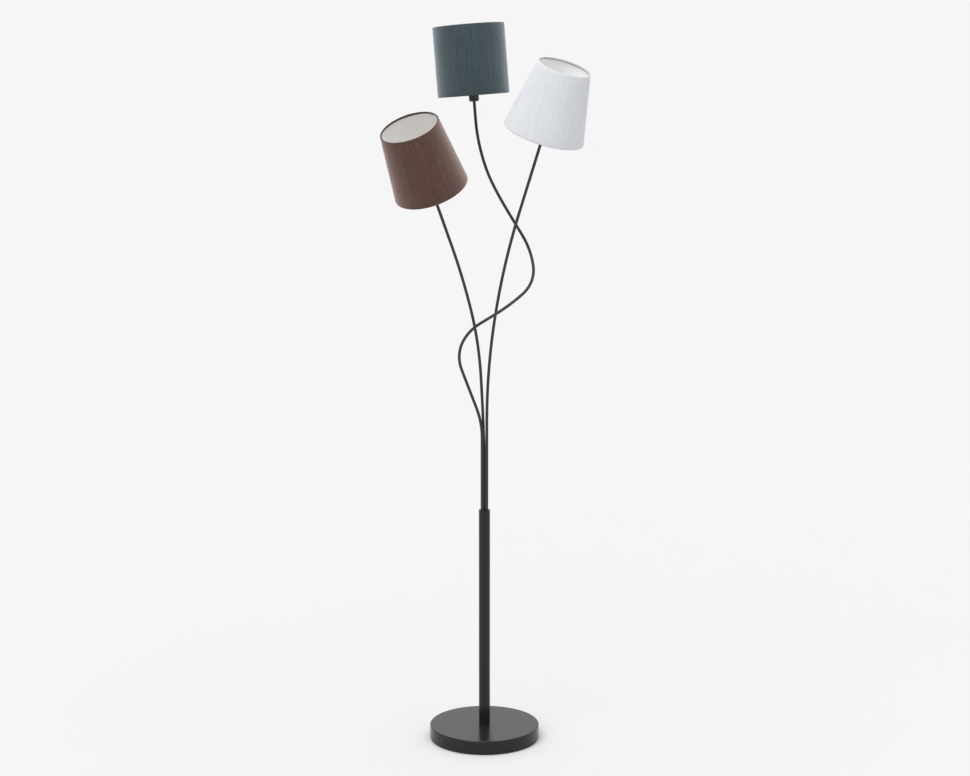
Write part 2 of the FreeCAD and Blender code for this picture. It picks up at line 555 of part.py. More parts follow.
# ---------------------------------------------------------------- shade
def shade_wall(side):
    """Gives the function that maps (along the wall, inward from its outside) to the XZ plane."""
    bottom, top, height = SHADE_SIZES[side]
    length = math.hypot(top - bottom, height)
    rise, lean = height / length, (top - bottom) / length
    return length, lambda along, inward: V(bottom + along * lean - inward * rise, 0, along * rise + inward * lean)


def hem_points():
    """Points of one folded edge in wall coordinates: outer and inner arc, and the fold's end."""
    middle = (HEM_INSIDE + HEM_OUTSIDE) / 2
    end_inward = LINER_FACE + LINER + HEM_GAP + FABRIC / 2
    reach_along, reach_in = HEM_HEIGHT - HEM_OUTSIDE, end_inward - HEM_OUTSIDE
    tangent = math.atan2(reach_in, reach_along) + math.acos(middle / math.hypot(reach_along, reach_in))

    def on_circle(radius, angle):
        return (HEM_OUTSIDE + radius * math.cos(angle), HEM_OUTSIDE + radius * math.sin(angle))

    half_way = (tangent - 2 * math.pi - math.pi / 2) / 2
    arcs = [[on_circle(radius, angle) for angle in (-math.pi / 2, half_way, tangent)]
            for radius in (HEM_OUTSIDE, HEM_INSIDE)]
    across = (math.cos(tangent) * FABRIC / 2, math.sin(tangent) * FABRIC / 2)
    ends = [(HEM_HEIGHT + sign * across[0], end_inward + sign * across[1]) for sign in (1, -1)]
    return arcs, ends


def shade_pieces(side):
    """The shade's pieces along +Z, by name."""
    length, wall = shade_wall(side)
    (outer_arc, inner_arc), (outer_end, inner_end) = hem_points()

    def low(point):
        return wall(*point)

    def high(point):
        return wall(length - point[0], point[1])

    def line(a, b):
        return Part.LineSegment(a, b).toShape()

    def arc(place, points):
        return Part.Arc(*[place(point) for point in points]).toShape()

    edges = [line(low(outer_arc[0]), high(outer_arc[0])), arc(high, outer_arc),
             line(high(outer_arc[2]), high(outer_end)), line(high(outer_end), high(inner_end)),
             line(high(inner_end), high(inner_arc[2])), arc(high, inner_arc),
             line(high(inner_arc[0]), low(inner_arc[0])), arc(low, inner_arc),
             line(low(inner_arc[2]), low(inner_end)), line(low(inner_end), low(outer_end)),
             line(low(outer_end), low(outer_arc[2])), arc(low, outer_arc)]
    fabric = turned_face(edges)

    liner_start = HEM_OUTSIDE + SHADE_WIRE
    liner_corners = [wall(liner_start, LINER_FACE), wall(length - liner_start, LINER_FACE),
                     wall(length - liner_start, LINER_FACE + LINER), wall(liner_start, LINER_FACE + LINER)]
    liner = turned([(point.x, point.z) for point in liner_corners])

    wires = []
    for along in (HEM_OUTSIDE, length - HEM_OUTSIDE):
        centre = wall(along, HEM_OUTSIDE)
        wires.append((centre, Part.makeTorus(centre.x, SHADE_WIRE, V(0, 0, centre.z), UP)))
    (low_centre, low_wire), (high_centre, high_wire) = wires

    hole = SKIRT_THREAD_DIAMETER / 2 + FITTER_HOLE_GAP
    frame = ring(FITTER_DIAMETER / 2, hole, FITTER_BOTTOM, FITTER_TOP).fuse(low_wire)
    spoke_start = FITTER_DIAMETER / 2 - SPOKE_OVERLAP
    spoke_level = (FITTER_BOTTOM + FITTER_TOP) / 2
    for bearing in around(SPOKE_COUNT, SPOKE_BEARING):
        start = at_bearing(spoke_start, bearing, spoke_level)
        run = at_bearing(low_centre.x, bearing, low_centre.z) - start
        frame = frame.fuse(Part.makeCylinder(SPOKE_DIAMETER / 2, run.Length, start, run))
        way = Part.makeCylinder(SPOKE_DIAMETER / 2 + SPOKE_GAP, run.Length, start, run)
        fabric = fabric.cut(way)
        liner = liner.cut(way)
    return {"shade_fabric": fabric, "shade_liner": liner, "shade_top_wire": high_wire,
            "shade_frame": frame}


# ---------------------------------------------------------------- the whole lamp
def placed(shape, placement):
    copy = shape.copy()
    copy.Placement = placement.multiply(copy.Placement)
    return copy


def build():
    base_pieces()
    wiring_pieces()
    pole_pieces()
    holder = holder_pieces()
    bulb = bulb_pieces()
    shared = {"nipple": [], "contact": []}
    for side in ARM_BEARINGS:
        arm_pieces(side)
        placement = head_placement(side)
        for name, shape in {**holder, **bulb, **shade_pieces(side)}.items():
            if name in shared:
                shared[name].append(placed(shape, placement))
            else:
                SHAPES[side + "_" + name] = placed(shape, placement)
    SHAPES["arm_nipples"] = Part.makeCompound(shared["nipple"])
    SHAPES["holder_contacts"] = Part.makeCompound(shared["contact"])


def main():
    build()
    os.makedirs("parts", exist_ok=True)
    for name, shape in SHAPES.items():
        if not shape.isValid() or not shape.Solids:
            raise ValueError(name + " is not a valid solid")
        shape.exportStep("parts/" + name + ".step")
    print(len(SHAPES), "pieces")


main()
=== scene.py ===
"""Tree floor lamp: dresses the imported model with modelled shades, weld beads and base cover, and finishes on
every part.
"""
import json
import math
import bmesh
import bpy
from mathutils import Matrix, Vector


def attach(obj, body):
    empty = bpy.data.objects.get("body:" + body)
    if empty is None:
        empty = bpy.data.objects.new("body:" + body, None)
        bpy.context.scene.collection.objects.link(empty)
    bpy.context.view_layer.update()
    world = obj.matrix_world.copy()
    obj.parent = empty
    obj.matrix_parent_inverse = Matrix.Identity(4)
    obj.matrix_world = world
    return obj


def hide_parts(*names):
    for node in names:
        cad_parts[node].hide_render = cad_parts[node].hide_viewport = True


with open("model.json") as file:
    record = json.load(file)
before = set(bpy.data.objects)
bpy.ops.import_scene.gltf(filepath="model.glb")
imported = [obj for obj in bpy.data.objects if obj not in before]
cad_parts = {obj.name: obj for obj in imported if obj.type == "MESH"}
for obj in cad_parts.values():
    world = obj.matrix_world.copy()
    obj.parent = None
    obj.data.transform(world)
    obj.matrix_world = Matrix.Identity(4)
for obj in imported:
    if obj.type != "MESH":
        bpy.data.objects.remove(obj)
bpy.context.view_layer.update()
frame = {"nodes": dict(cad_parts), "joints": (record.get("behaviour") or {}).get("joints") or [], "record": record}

CLOTH_MAP = "cloth"          # UV map: a place on the flat cloth, in metres
DEPTH_MAP = "depth"          # UV map: the way in from a wall's outside, and the way up along it
SIDES = ("left", "centre", "right")
UP = Vector((0, 0, 1))
MM = 0.001

# ------------------------------------------------------------------ camera
IMAGE_WIDTH = 970
SENSOR = 36.0
FOCAL_PIXELS = 2035.75
CAMERA_PLACE = (0.0012, -4.4, 1.5549)
CAMERA_DOWN = 9.746          # degrees below level


def add_camera():
    data = bpy.data.cameras.new("camera")
    data.sensor_width = SENSOR
    data.sensor_fit = "HORIZONTAL"
    data.lens = FOCAL_PIXELS / IMAGE_WIDTH * SENSOR
    camera = bpy.data.objects.new("camera", data)
    camera.location = CAMERA_PLACE
    camera.rotation_euler = (math.radians(90 - CAMERA_DOWN), 0, 0)
    bpy.context.scene.collection.objects.link(camera)
    bpy.context.scene.camera = camera


# ------------------------------------------------------------------ shader maths
class Value:
    """A socket or a number that adds Math nodes when it is used in an expression."""

    def __init__(self, shader, socket):
        self.shader = shader
        self.socket = socket

    def _math(self, operation, first, second=None):
        return self.shader.node("ShaderNodeMath", {"operation": operation}, {0: first, 1: second})

    def __add__(self, other):
        return self._math("ADD", self, other)

    def __radd__(self, other):
        return self._math("ADD", other, self)

    def __sub__(self, other):
        return self._math("SUBTRACT", self, other)

    def __rsub__(self, other):
        return self._math("SUBTRACT", other, self)

    def __mul__(self, other):
        return self._math("MULTIPLY", self, other)

    def __rmul__(self, other):
        return self._math("MULTIPLY", other, self)

    def absolute(self):
        return self._math("ABSOLUTE", self)

    def sine(self):
        return self._math("SINE", self)

    def larger(self, other):
        return self._math("MAXIMUM", self, other)

    def step(self, low, high):
        """0 below low, 1 above high, smooth between."""
        return self.shader.node("ShaderNodeMapRange", {"interpolation_type": "SMOOTHSTEP"},
                                {"Value": self, "From Min": low, "From Max": high})


class Shader:
    """A node material with one Principled surface."""

    def __init__(self, name, roughness=0.5, metallic=0.0, **constants):
        self.material = bpy.data.materials.new(name)
        self.material.use_nodes = True
        self.nodes = self.material.node_tree.nodes
        self.links = self.material.node_tree.links
        self.surface = self.nodes["Principled BSDF"]
        self.set(Roughness=roughness, Metallic=metallic)
        for socket, value in constants.items():
            self.surface.inputs[socket.replace("_", " ")].default_value = value

    def _give(self, socket, value):
        if isinstance(value, Value):
            self.links.new(value.socket, socket)
        elif value is not None:
            socket.default_value = value

    def node(self, kind, settings=None, inputs=None, output=0):
        made = self.nodes.new(kind)
        for name, setting in (settings or {}).items():
            setattr(made, name, setting)
        for name, value in (inputs or {}).items():
            self._give(made.inputs[name], value)
        return Value(self, made.outputs[output])

    def set(self, **inputs):
        for name, value in inputs.items():
            self._give(self.surface.inputs[name.replace("_", " ")], value)

    def place(self, scale=(1, 1, 1), uv=False):
        """Object coordinates, or those of the piece's own flat cloth, in metres, stretched by scale."""
        if uv:
            source = self.node("ShaderNodeUVMap", {"uv_map": CLOTH_MAP})
        else:
            source = self.node("ShaderNodeTexCoord", output="Object")
        return self.node("ShaderNodeMapping", inputs={"Vector": source, "Scale": scale})

    def noise(self, scale, detail=2.0, stretch=(1, 1, 1), uv=False):
        """Noise with scale times stretch features to the metre."""
        inputs = {"Vector": self.place(stretch, uv), "Scale": scale, "Detail": detail}
        return self.node("ShaderNodeTexNoise", None, inputs)

    def parts(self, vector):
        """X and Y of a vector."""
        x = self.node("ShaderNodeSeparateXYZ", None, {0: vector})
        return x, Value(self, x.socket.node.outputs[1])

    def mix(self, factor, dark, light):
        """Colour between two colours."""
        made = self.nodes.new("ShaderNodeMix")
        made.data_type = "RGBA"
        for socket, value in ((made.inputs[0], factor), (made.inputs[6], dark), (made.inputs[7], light)):
            if isinstance(value, (tuple, list)):
                value = (*value[:3], 1.0)
            self._give(socket, value)
        return Value(self, made.outputs[2])

    def bump(self, height, depth, strength=1.0):
        inputs = {"Height": height, "Distance": depth, "Strength": strength}
        self.set(Normal=self.node("ShaderNodeBump", None, inputs))


# ------------------------------------------------------------------ finishes
COAT_IOR = 1.38              # of the powder coat
PEEL_DEPTH = 0.03 * MM       # depth of each finish's bumps
WEAVE_DEPTH = 0.2 * MM
FIBRE_DEPTH = 0.08 * MM
SPARK_DEPTH = 0.04 * MM
LINE_DEPTH = 0.02 * MM
CAST_DEPTH = 0.5 * MM
CELL_DEPTH = 0.2 * MM
WIRE_COAT_DEPTH = 0.05 * MM
SCUFF_DEPTH = 0.06 * MM
THREAD_PITCH = 0.9 * MM      # of the fabrics' weave
SLUB_FINE = 1100             # slubs to the metre across a thread
SLUB_LONG = 26               # and along it
STREAKS = (420, 6, 1)        # streaks to the metre round a shade and up it
FOLD_SHADE_START = 0.6 * MM         # how far in from the wall's outside the painted shade on the fold begins
FOLD_SHADE_FULL = 1.1 * MM


def powder_coat(name, dark, light):
    """Near-black powder coat: fine orange peel, and cloudy changes of gloss."""
    shader = Shader(name, IOR=COAT_IOR)
    cloud = shader.noise(9.0, 3.0)
    peel = shader.noise(1400.0, 2.0)
    speck = shader.noise(5200.0, 1.0).step(0.62, 0.74)
    shader.set(Base_Color=shader.mix(cloud * 0.6 + speck * 0.3, dark, light),
               Roughness=0.19 + cloud * 0.07 + speck * 0.08)
    shader.bump(peel + speck * 0.25, PEEL_DEPTH)
    return shader.material


def woven_fabric(name, dark, light, fold_shade, sheen):
    """Plain-weave cotton with slubs along both threads, and painted shade on the fold where it rolls in round the
    wires.
    """
    threads = 2 * math.pi / THREAD_PITCH
    shader = Shader(name, Sheen_Weight=sheen, Sheen_Roughness=0.45, Specular_IOR_Level=0.25,
                    Sheen_Tint=(*[0.6 + 0.4 * part / max(light) for part in light], 1.0))
    across, along = shader.parts(shader.place(uv=True))
    warp = (across * threads).sine()
    weft = (along * threads).sine()
    over = (warp * weft) * 0.5 + 0.5
    weave = warp.absolute().larger(weft.absolute())
    slub_up = shader.noise(1.0, 3.0, (SLUB_FINE, SLUB_LONG, 1), True)
    slub_round = shader.noise(1.0, 3.0, (SLUB_LONG, SLUB_FINE, 1), True)
    slub = slub_up * 0.6 + slub_round * 0.4
    streak = shader.noise(1.0, 3.0, STREAKS, True)
    cloud = shader.noise(14.0, 2.0, uv=True)
    tone = (slub - 0.5) * 2.2 + (streak - 0.5) + (cloud - 0.5) * 0.4 + over * 0.25 + weave * 0.25 + 0.12
    inward = shader.parts(shader.node("ShaderNodeUVMap", {"uv_map": DEPTH_MAP}))[0]
    cloth = shader.mix(tone.step(0.0, 1.0), dark, light)
    # painted shade: the fold's own cloth takes a darker colour where it rolls in round the wires
    shader.set(Base_Color=shader.mix(inward.step(FOLD_SHADE_START, FOLD_SHADE_FULL), cloth, fold_shade),
               Roughness=0.86 + slub * 0.12)
    shader.bump(weave * 0.6 + over * 0.4 + slub * 1.2, WEAVE_DEPTH, 0.8)
    return shader.material


def stiff_liner(name, dark, light):
    """Pale lining film: a soft gloss over a faint fibre pattern."""
    shader = Shader(name, Sheen_Weight=0.15, Specular_IOR_Level=0.4)
    fibre = shader.noise(1.0, 4.0, (420, 420, 60), True)
    cloud = shader.noise(22.0, 2.0, uv=True)
    shader.set(Base_Color=shader.mix(fibre * 0.7 + cloud * 0.3, dark, light),
               Roughness=0.52 + fibre * 0.16)
    shader.bump(fibre, FIBRE_DEPTH, 0.5)
    return shader.material


def moulded_plastic(name, dark, light, roughness):
    """Moulded plastic with a fine spark texture and a few rubbed patches."""
    shader = Shader(name, Specular_IOR_Level=0.5)
    grain = shader.noise(2600.0, 2.0)
    rubbed = shader.noise(60.0, 3.0).step(0.52, 0.72)
    shader.set(Base_Color=shader.mix(grain * 0.6 + rubbed * 0.4, dark, light),
               Roughness=roughness + grain * 0.12 - rubbed * 0.10)
    shader.bump(grain, SPARK_DEPTH)
    return shader.material


def plated_metal(name, dark, light, roughness):
    """Pressed or turned metal with fine lines round it and dull spots."""
    shader = Shader(name, roughness, 1.0)
    lines = shader.noise(1.0, 3.0, (300, 300, 4200))
    spots = shader.noise(260.0, 3.0).step(0.5, 0.7)
    shader.set(Base_Color=shader.mix(lines * 0.5 + spots * 0.5, light, dark),
               Roughness=roughness + lines * 0.12 + spots * 0.12)
    shader.bump(lines, LINE_DEPTH)
    return shader.material


def cast_iron():
    """Sand-cast iron: coarse skin with darker pits."""
    shader = Shader("cast_iron", 0.7, 0.6)
    skin = shader.noise(420.0, 4.0)
    pits = shader.noise(900.0, 2.0).step(0.58, 0.7)
    shader.set(Base_Color=shader.mix(skin - pits * 0.5, (0.05, 0.048, 0.046), (0.16, 0.155, 0.15)),
               Roughness=0.62 + skin * 0.25)
    shader.bump(skin - pits * 0.6, CAST_DEPTH)
    return shader.material


def foam_pad():
    """Closed-cell foam rubber on the underside."""
    shader = Shader("foam_pad", Specular_IOR_Level=0.3)
    cells = shader.node("ShaderNodeTexVoronoi", None, {"Vector": shader.place(), "Scale": 1100.0})
    dust = shader.noise(30.0, 4.0)
    shader.set(Base_Color=shader.mix(cells * 0.5 + dust * 0.5, (0.018, 0.018, 0.019), (0.05, 0.05, 0.052)),
               Roughness=0.8 + dust * 0.15)
    shader.bump(cells, CELL_DEPTH)
    return shader.material


def coated_wire():
    """White powder-coated wire."""
    shader = Shader("white_coated_wire", Specular_IOR_Level=0.5)
    peel = shader.noise(1600.0, 2.0)
    grime = shader.noise(90.0, 3.0)
    shader.set(Base_Color=shader.mix(grime, (0.70, 0.69, 0.67), (0.80, 0.79, 0.775)),
               Roughness=0.34 + peel * 0.16)
    shader.bump(peel, WIRE_COAT_DEPTH)
    return shader.material


def opal_glass():
    """White opal glass with a slightly uneven gloss."""
    shader = Shader("opal_glass", IOR=1.5, Coat_Roughness=0.05)
    haze = shader.noise(35.0, 2.0)
    shader.set(Base_Color=shader.mix(haze, (0.80, 0.79, 0.76), (0.86, 0.85, 0.82)),
               Roughness=0.16 + haze * 0.08, Coat_Weight=0.35 + haze * 0.2)
    return shader.material


def lead_sheath():
    """Black cord sheath."""
    shader = Shader("lead_sheath", Specular_IOR_Level=0.4)
    scuff = shader.noise(300.0, 3.0)
    shader.set(Base_Color=shader.mix(scuff, (0.018, 0.018, 0.018), (0.035, 0.035, 0.035)),
               Roughness=0.5 + scuff * 0.2)
    shader.bump(scuff, SCUFF_DEPTH)
    return shader.material


FINISHES = {
    "black_metal": powder_coat("black_powder_coat", (0.0075, 0.0072, 0.0068), (0.013, 0.0125, 0.012)),
    "cast_iron": cast_iron(),
    "pad": foam_pad(),
    "steel": plated_metal("zinc_plated_steel", (0.30, 0.29, 0.27), (0.56, 0.56, 0.55), 0.30),
    "brass": plated_metal("pressed_brass", (0.44, 0.29, 0.11), (0.78, 0.57, 0.27), 0.26),
    "block": moulded_plastic("white_nylon", (0.62, 0.61, 0.58), (0.74, 0.73, 0.70), 0.42),
    "gland": moulded_plastic("black_nylon", (0.014, 0.014, 0.014), (0.03, 0.03, 0.03), 0.45),
    "lead": lead_sheath(),
    "holder": moulded_plastic("black_holder_resin", (0.016, 0.016, 0.017), (0.032, 0.032, 0.033), 0.34),
    "liner": stiff_liner("pale_lining", (0.81, 0.79, 0.765), (0.88, 0.865, 0.845)),
    "wire": coated_wire(),
    "bulb_cap": plated_metal("pressed_aluminium", (0.50, 0.50, 0.50), (0.80, 0.80, 0.80), 0.24),
    "bulb_glass": opal_glass(),
    # each fabric's third colour is painted shade for its fold round the wires
    "left_fabric": woven_fabric("brown_cotton", (0.056, 0.028, 0.0205), (0.122, 0.064, 0.048),
                                (0.016, 0.012, 0.011), 0.62),
    "centre_fabric": woven_fabric("grey_blue_cotton", (0.026, 0.040, 0.047), (0.056, 0.080, 0.093),
                                  (0.018, 0.026, 0.030), 0.65),
    "right_fabric": woven_fabric("white_cotton", (0.57, 0.585, 0.62), (0.68, 0.695, 0.725),
                                 (0.40, 0.40, 0.41), 0.10),
}
# lighter copy of the lining for the white shade: painted light standing in for light that comes through its white
# cloth
LINING_PAINTED_LIGHTER = stiff_liner("lining_painted_lighter", (0.91, 0.915, 0.92), (0.95, 0.95, 0.95))
# lighter copy of the same black powder coat, for the arm tubes and holder cups: painted light
BLACK_COAT_PAINTED_LIGHTER = powder_coat("black_coat_painted_lighter", (0.022, 0.0225, 0.0225), (0.032, 0.033, 0.033))
SLOTS = {part["node"]: part["material_slot"] for part in frame["record"]["subparts"]}


# ------------------------------------------------------------------ modelling helpers
JOIN = 1e-6                  # vertices closer than this become one
METAL_ANGLE = 30             # edges flatter than this shade smoothly, in degrees
CLOTH_ANGLE = 40


def object_mode():
    if bpy.context.object and bpy.context.object.mode != "OBJECT":
        bpy.ops.object.mode_set(mode="OBJECT")


def pick(piece):
    """Makes a piece the only selected object."""
    object_mode()
    bpy.ops.object.select_all(action="DESELECT")
    piece.select_set(True)
    bpy.context.view_layer.objects.active = piece


def bake_place(piece):
    pick(piece)
    bpy.ops.object.transform_apply(location=True, rotation=True, scale=True)


def turned_to(way):
    """Matrix that turns +Z to a way."""
    return UP.rotation_difference(Vector(way).normalized()).to_matrix().to_4x4()


def select_faces(piece, test):
    """Selects the faces of a piece that a test is true for, in edit mode."""
    pick(piece)
    bpy.ops.object.mode_set(mode="EDIT")
    bpy.ops.mesh.select_mode(type="FACE")
    bpy.ops.mesh.select_all(action="DESELECT")
    mesh = bmesh.from_edit_mesh(piece.data)
    for face in mesh.faces:
        if test(face):
            face.select_set(True)
    mesh.select_flush_mode()
    bmesh.update_edit_mesh(piece.data)


def turn(name, outline, sides, loop=False):
    """Turned piece: a circle extruded and scaled from one (radius, height) point to the next."""
    object_mode()
    bpy.ops.object.select_all(action="DESELECT")
    radius, height = outline[0]
    bpy.ops.mesh.primitive_circle_add(vertices=sides, radius=radius, location=(0, 0, height))
    piece = bpy.context.object
    piece.name = piece.data.name = name
    bake_place(piece)
    bpy.ops.object.mode_set(mode="EDIT")
    bpy.ops.mesh.select_mode(type="EDGE")
    bpy.ops.mesh.select_all(action="SELECT")
    for next_radius, next_height in outline[1:]:
        bpy.ops.mesh.extrude_edges_move(TRANSFORM_OT_translate={"value": (0, 0, next_height - height)})
        if abs(next_radius - radius) > 1e-9:
            factor = next_radius / radius
            bpy.ops.transform.resize(value=(factor, factor, 1), center_override=(0, 0, next_height))
        radius, height = next_radius, next_height
    bpy.ops.mesh.select_all(action="SELECT")
    if loop:
        bpy.ops.mesh.remove_doubles(threshold=JOIN)
    bpy.ops.mesh.normals_make_consistent(inside=False)
    object_mode()
    return piece


def arc_points(centre, radius, first, last, steps):
    """(radius, height) points round an arc between two angles in degrees."""
    angles = [math.radians(first + (last - first) * step / steps) for step in range(steps + 1)]
    return [(centre[0] + radius * math.cos(a), centre[1] + radius * math.sin(a)) for a in angles]


def smooth(piece, degrees):
    pick(piece)
    bpy.ops.object.shade_smooth_by_angle(angle=math.radians(degrees))


def thicken(piece, thickness):
    """Gives an open surface a wall on its inner side."""
    pick(piece)
    solidify = piece.modifiers.new("wall", "SOLIDIFY")
    solidify.thickness = thickness
    solidify.offset = -1
    solidify.use_even_offset = True
    bpy.ops.object.modifier_apply(modifier=solidify.name)


def body_of_node(node):
    return next(body for body, nodes in frame["record"]["behaviour"]["bodies"].items() if node in nodes)


def finish_piece(piece, node, degrees):
    """Puts a piece on its node's body with its finish, in the node's place."""
    smooth(piece, degrees)
    piece.data.materials.clear()
    piece.data.materials.append(FINISHES[SLOTS[node]])
    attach(piece, body_of_node(node))
    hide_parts(node)


def smooth_copy(node):
    """Copy of a CAD node with its loose triangles joined, so that its curves shade smoothly."""
    piece = bpy.data.objects.new(node + "_finished", frame["nodes"][node].data.copy())
    bpy.context.scene.collection.objects.link(piece)
    pick(piece)
    bpy.ops.object.mode_set(mode="EDIT")
    bpy.ops.mesh.select_all(action="SELECT")
    bpy.ops.mesh.remove_doubles(threshold=JOIN)
    object_mode()
    finish_piece(piece, node, METAL_ANGLE)
    return piece


def head_matrix(side):
    """The shade's own frame: its bottom edge in the XY plane, its axis along +Z."""
    joint = next(j for j in frame["joints"] if j["name"] == side + "_shade_turn")
    return Matrix.Translation(joint["pos_m"]) @ turned_to(joint["axis"])


def to_head(piece, side):
    piece.matrix_world = head_matrix(side)
    bake_place(piece)


# ------------------------------------------------------------------ shades
SHADE_SIZES = {              # outside radius at the bottom and the top, and height along the axis
    "left": (0.0800, 0.0635, 0.150),
    "centre": (0.0775, 0.0775, 0.150),
    "right": (0.0875, 0.0565, 0.150),
}
FABRIC = 0.5 * MM
LINER = 0.35 * MM
GAP = 0.2 * MM               # between fabric, wire and lining
WIRE = 1.5 * MM
HEM_CENTRE = WIRE + GAP + FABRIC
HEM_HEIGHT = 5.5 * MM
LINER_INWARD = FABRIC + GAP + LINER / 2
LINER_START = HEM_CENTRE + WIRE
SHADE_SIDES = 192
FABRIC_ROWS = 12
LINER_ROWS = 10
FOLD_STEPS = 14
SEAM_HALF_WIDTH = 4.6 * MM   # of the overlap at the back
FABRIC_SEAM = 0.4 * MM       # how far it stands out from the wall
LINER_SEAM = 0.3 * MM
SPOKE_BEARINGS = (90.0, 210.0, 330.0)
FITTER_EDGE = 22.0 * MM      # outside radius of the ring that the spokes hold
FITTER_MIDDLE = 14.7 * MM    # height of its middle
BEAD_WIDTH = 1.75 * MM       # half width of a bead of weld, as its lengths are
INNER_BEAD = (0.4 * MM, 2.6 * MM)    # (middle before the spoke's end, half length)
OUTER_BEAD = (0.9 * MM, 2.4 * MM)
SPOKE_SLIT = 2.0             # degrees either side of a spoke where the hem's fold is slit
STRAIGHT = 1e-6              # a wall that leans less than this is a cylinder


class Wall:
    """A shade's wall: places on it from the way up along it and the way in from its outside."""

    def __init__(self, side):
        self.bottom, self.top, height = SHADE_SIZES[side]
        self.length = math.hypot(self.top - self.bottom, height)
        self.rise = height / self.length
        self.lean = (self.top - self.bottom) / self.length

    def point(self, along, inward):
        """(radius, height) of a place on the wall."""
        radius = self.bottom + along * self.lean - inward * self.rise
        return (radius, along * self.rise + inward * self.lean)

    def rows(self, start, count, inward):
        """Points at even steps up the wall, from start to as far from its top."""
        span = self.length - 2 * start
        return [self.point(start + span * row / count, inward) for row in range(count + 1)]

    def wall_place(self, place):
        """Way up along the wall and way in from its outside of a place."""
        outward = math.hypot(place.x, place.y) - self.bottom
        return (outward * self.lean + place.z * self.rise, place.z * self.lean - outward * self.rise)

    def cloth(self, place, middle_angle):
        """Place on the flat cloth that the wall was cut from, in metres."""
        angle = math.atan2(place.x, -place.y)
        while angle - middle_angle > math.pi:
            angle -= 2 * math.pi
        while middle_angle - angle > math.pi:
            angle += 2 * math.pi
        along = place.z / self.rise
        if abs(self.lean) < STRAIGHT:
            return (angle * self.bottom, along)
        slant = self.bottom / -self.lean
        sector = angle * -self.lean
        return ((slant - along) * math.sin(sector), slant - (slant - along) * math.cos(sector))


def lay_cloth(piece, shape):
    """Gives a piece the UV map of its flat cloth, and one of the way in from the wall's outside."""
    mesh = piece.data
    while mesh.uv_layers:
        mesh.uv_layers.remove(mesh.uv_layers[0])
    mesh.uv_layers.new(name=CLOTH_MAP)
    mesh.uv_layers.new(name=DEPTH_MAP)
    cloth, depth = mesh.uv_layers[CLOTH_MAP].data, mesh.uv_layers[DEPTH_MAP].data
    for face in mesh.polygons:
        middle = math.atan2(face.center.x, -face.center.y)
        for corner in face.loop_indices:
            place = mesh.vertices[mesh.loops[corner].vertex_index].co
            cloth[corner].uv = shape.cloth(place, middle)
            along, inward = shape.wall_place(place)
            depth[corner].uv = (inward, along)


def raise_seam(piece, side_sign, amount):
    """Doubles the material over the overlap at the back of a shade, outside (1) or inside (-1)."""
    def in_seam(face):
        middle = face.calc_center_median()
        radial = Vector((middle.x, middle.y, 0)).normalized()
        facing = face.normal.dot(radial) * side_sign
        return middle.y > 0 and abs(middle.x) < SEAM_HALF_WIDTH and facing > 0.5

    select_faces(piece, in_seam)
    bpy.ops.mesh.extrude_region_shrink_fatten(TRANSFORM_OT_shrink_fatten={"value": amount})
    bpy.ops.mesh.select_all(action="SELECT")
    bpy.ops.mesh.normals_make_consistent(inside=False)
    object_mode()


def hem_path(shape, at_top):
    """The cloth's course from the free end of a fold, round the wire, to the wall."""
    radius = HEM_CENTRE - FABRIC / 2
    end = (HEM_HEIGHT, LINER_INWARD + LINER / 2 + GAP + FABRIC / 2)
    reach = (end[0] - HEM_CENTRE, end[1] - HEM_CENTRE)
    tangent = math.degrees(math.atan2(reach[1], reach[0]) + math.acos(radius / math.hypot(*reach)))
    path = [end] + arc_points((HEM_CENTRE, HEM_CENTRE), radius, tangent, 270, FOLD_STEPS)
    if at_top:
        return [shape.point(shape.length - along, inward) for along, inward in reversed(path)]
    return [shape.point(along, inward) for along, inward in path]


def slit_folds(piece, shape):
    """Opens the fold of the lower hem where each spoke reaches the wire."""
    def in_slit(face):
        middle = face.calc_center_median()
        bearing = math.degrees(math.atan2(middle.y, middle.x)) % 360
        near_spoke = any(abs(bearing - spoke) < SPOKE_SLIT for spoke in SPOKE_BEARINGS)
        along, inward = shape.wall_place(middle)
        return near_spoke and inward > LINER_INWARD and HEM_CENTRE < along < 2 * HEM_HEIGHT

    select_faces(piece, in_slit)
    bpy.ops.mesh.delete(type="FACE")
    object_mode()


def make_fabric(side):
    """Cloth wall folded in round the wire at both edges, with its overlap at the back."""
    shape = Wall(side)
    walls = shape.rows(HEM_CENTRE, FABRIC_ROWS, FABRIC / 2)[1:-1]
    piece = turn(side + "_fabric", hem_path(shape, False) + walls + hem_path(shape, True), SHADE_SIDES)
    slit_folds(piece, shape)
    thicken(piece, FABRIC)
    raise_seam(piece, 1, FABRIC_SEAM)
    lay_cloth(piece, shape)
    to_head(piece, side)
    finish_piece(piece, side + "_shade_fabric", CLOTH_ANGLE)


def make_liner(side):
    """Stiff lining tucked under both hems, overlapped at the back."""
    shape = Wall(side)
    piece = turn(side + "_liner", shape.rows(LINER_START, LINER_ROWS, LINER_INWARD), SHADE_SIDES)
    thicken(piece, LINER)
    raise_seam(piece, -1, LINER_SEAM)
    lay_cloth(piece, shape)
    to_head(piece, side)
    finish_piece(piece, side + "_shade_liner", CLOTH_ANGLE)
    # the white shade's lining takes the lighter copy, painted light
    if side == "right":
        piece.data.materials[0] = LINING_PAINTED_LIGHTER


def weld_bead(place, length, way):
    """Low bead of weld: a ball drawn out along way."""
    object_mode()
    bpy.ops.object.select_all(action="DESELECT")
    bpy.ops.mesh.primitive_ico_sphere_add(subdivisions=3, radius=1.0)
    bead = bpy.context.object
    size = Matrix.Diagonal((BEAD_WIDTH, BEAD_WIDTH, length, 1.0))
    bead.matrix_world = Matrix.Translation(place) @ turned_to(way) @ size
    bake_place(bead)
    return bead


